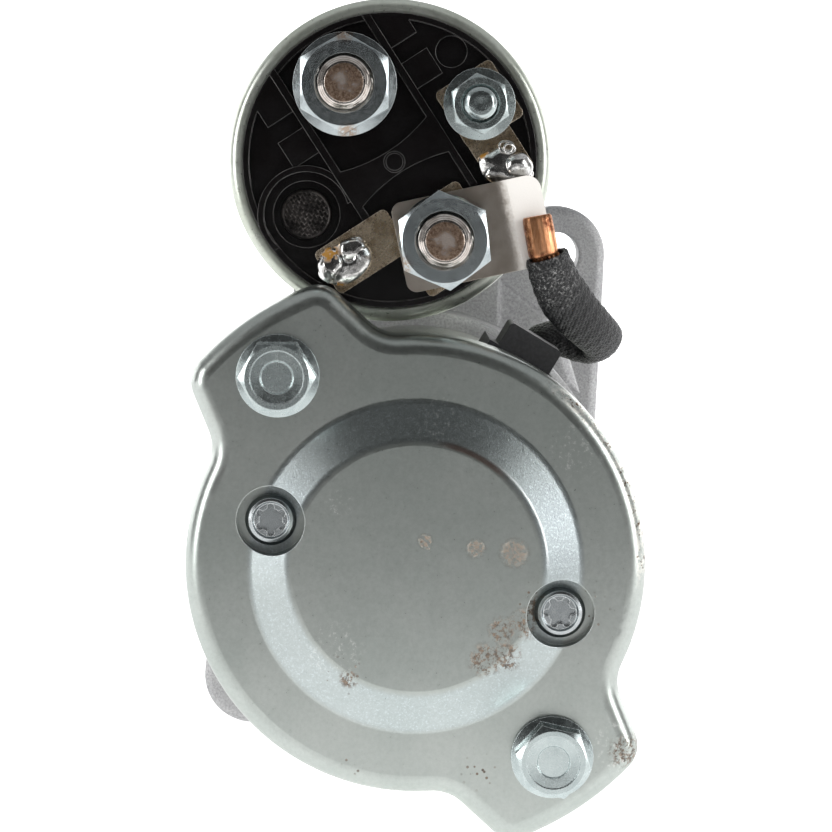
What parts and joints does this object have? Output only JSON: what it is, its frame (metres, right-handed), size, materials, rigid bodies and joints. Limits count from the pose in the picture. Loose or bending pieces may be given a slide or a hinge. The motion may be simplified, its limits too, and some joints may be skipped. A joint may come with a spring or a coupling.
{
  "type": "starter motor",
  "caption": "Starter motor with a planetary reduction gear, a sliding pinion with overrunning clutch, and a shift solenoid with threaded terminals on top.",
  "frame": {"origin": "on the motor's axis, in the plane of the mounting flange, at the base of the pilot", "axes": "+Y along the motor's axis towards the pinion and nose, +Z from the motor's axis towards the solenoid, +X to the right when looking along +Y"},
  "size_m": [0.0766, 0.2042, 0.1336],
  "materials": {
    "cast_aluminium": "sand-cast, matt",
    "zinc_steel": "zinc plated, satin",
    "zinc_fasteners": "zinc plated, bright",
    "phenolic": "glossy black moulding",
    "tinned_studs": "copper, thinly tinned",
    "tinned_plate": "tinned brass plate",
    "solder": "bright solder",
    "nickel_strap": "satin nickel plate",
    "copper": "bare copper",
    "enamelled_copper": "enamelled copper wire",
    "woven_sleeve": "black woven sleeve",
    "rubber": "matt black rubber",
    "steel": "machined steel",
    "bronze": "sintered bronze",
    "black_nylon": "glass-filled nylon",
    "ferrite": "ferrite magnet",
    "carbon": "copper-graphite brush",
    "laminated_steel": "laminated steel"
  },
  "bodies": {
    "root": {"drive_end_housing": "cast_aluminium", "shaft_bushes": "bronze", "lever_pivot_pin": "steel", "ring_gear": "black_nylon", "gear_shield": "zinc_steel", "centre_bracket": "steel", "return_spring": "steel", "solenoid_case": "zinc_steel", "solenoid_core": "steel", "coil_bobbin": "black_nylon", "coil_windings": "enamelled_copper", "contact_spring": "steel", "solenoid_cap": "phenolic", "main_studs": "tinned_studs", "signal_stud": "zinc_fasteners", "main_stud_nuts": "zinc_fasteners", "signal_nut": "zinc_fasteners", "coil_terminals": "tinned_plate", "solder_joints": "solder", "cap_vent": "tinned_plate", "solenoid_screws": "zinc_fasteners", "yoke": "zinc_steel", "magnets": "ferrite", "rear_cover": "zinc_steel", "through_bolts": "zinc_fasteners", "brush_plate_screws": "zinc_fasteners", "brush_plate": "zinc_steel", "brush_boxes": "bronze", "brush_springs": "steel", "lead_grommet": "rubber", "motor_lead": "copper", "lead_sleeve": "woven_sleeve", "lead_strap": "nickel_strap"},
    "armature": {"armature_shaft": "steel", "armature_core": "laminated_steel", "armature_winding": "enamelled_copper", "commutator_bars": "copper", "commutator_hub": "black_nylon", "sun_gear": "steel"},
    "output_shaft": {"output_shaft": "steel", "planet_pins": "steel", "stop_collar": "steel"},
    "planet_1": {"planet_gear_1": "steel"},
    "planet_2": {"planet_gear_2": "steel"},
    "planet_3": {"planet_gear_3": "steel"},
    "shift_collar": {"shift_collar": "black_nylon"},
    "clutch": {"clutch_drum": "steel", "clutch_rollers": "steel", "collar_washer": "steel"},
    "pinion": {"pinion": "steel"},
    "lever": {"shift_lever": "black_nylon"},
    "plunger": {"plunger": "steel"},
    "contact": {"contact_rod": "steel", "contact_disc": "copper"},
    "brush_1": {"brush_1": "carbon"},
    "brush_2": {"brush_2": "carbon"},
    "brush_3": {"brush_3": "carbon"},
    "brush_4": {"brush_4": "carbon"}
  },
  "joints": [
    {"name": "armature_spin", "type": "hinge", "parent": "root", "child": "armature", "pos_m": [0, -0.085, 0], "axis": [0, 1, 0], "continuous": true},
    {"name": "output_spin", "type": "hinge", "parent": "root", "child": "output_shaft", "pos_m": [0, 0, 0], "axis": [0, 1, 0], "continuous": true},
    {"name": "planet_1_spin", "type": "hinge", "parent": "output_shaft", "child": "planet_1", "pos_m": [0.01688, -0.049, 0], "axis": [0, 1, 0], "continuous": true},
    {"name": "planet_2_spin", "type": "hinge", "parent": "output_shaft", "child": "planet_2", "pos_m": [-0.00844, -0.049, 0.01461], "axis": [0, 1, 0], "continuous": true},
    {"name": "planet_3_spin", "type": "hinge", "parent": "output_shaft", "child": "planet_3", "pos_m": [-0.00844, -0.049, -0.01461], "axis": [0, 1, 0], "continuous": true},
    {"name": "collar_slide", "type": "slide", "parent": "root", "child": "shift_collar", "axis": [0, 1, 0], "range_m": [0, 0.01448]},
    {"name": "clutch_slide", "type": "slide", "parent": "output_shaft", "child": "clutch", "axis": [0, 1, 0], "range_m": [0, 0.01448]},
    {"name": "pinion_overrun", "type": "hinge", "parent": "clutch", "child": "pinion", "pos_m": [0, 0.01, 0], "axis": [0, 1, 0], "continuous": true},
    {"name": "lever_swing", "type": "hinge", "parent": "root", "child": "lever", "pos_m": [-0.00226, -0.01426, 0.03593], "axis": [0.998, 0, 0.0628], "range_deg": [0, 23.2]},
    {"name": "plunger_slide", "type": "slide", "parent": "root", "child": "plunger", "axis": [0, -1, 0], "range_m": [0, 0.00981], "stiffness_N_per_m": 3000, "springref_m": -0.012, "deforming": ["return_spring"]},
    {"name": "contact_slide", "type": "slide", "parent": "root", "child": "contact", "axis": [0, -1, 0], "range_m": [0, 0.00301], "deforming": ["contact_spring"]},
    {"name": "brush_1_lift", "type": "slide", "parent": "root", "child": "brush_1", "axis": [0.7071, 0, 0.7071], "range_m": [0, 0.0015], "stiffness_N_per_m": 1000, "springref_m": -0.006, "deforming": ["brush_springs"]},
    {"name": "brush_2_lift", "type": "slide", "parent": "root", "child": "brush_2", "axis": [-0.7071, 0, 0.7071], "range_m": [0, 0.0015], "stiffness_N_per_m": 1000, "springref_m": -0.006, "deforming": ["brush_springs"]},
    {"name": "brush_3_lift", "type": "slide", "parent": "root", "child": "brush_3", "axis": [-0.7071, 0, -0.7071], "range_m": [0, 0.0015], "stiffness_N_per_m": 1000, "springref_m": -0.006, "deforming": ["brush_springs"]},
    {"name": "brush_4_lift", "type": "slide", "parent": "root", "child": "brush_4", "axis": [0.7071, 0, -0.7071], "range_m": [0, 0.0015], "stiffness_N_per_m": 1000, "springref_m": -0.006, "deforming": ["brush_springs"]}
  ],
  "couplings": [
    {"joint": "output_spin", "follows": "armature_spin", "ratio": 0.22222},
    {"joint": "planet_1_spin", "follows": "armature_spin", "ratio": -0.62222},
    {"joint": "planet_2_spin", "follows": "armature_spin", "ratio": -0.62222},
    {"joint": "planet_3_spin", "follows": "armature_spin", "ratio": -0.62222},
    {"joint": "collar_slide", "follows": "plunger_slide", "ratio": 1.476},
    {"joint": "clutch_slide", "follows": "plunger_slide", "ratio": 1.476},
    {"joint": "lever_swing", "follows": "plunger_slide", "rad_per_m": 41.27},
    {"joint": "contact_slide", "follows": "plunger_slide", "ratio": 0.3058}
  ]
}
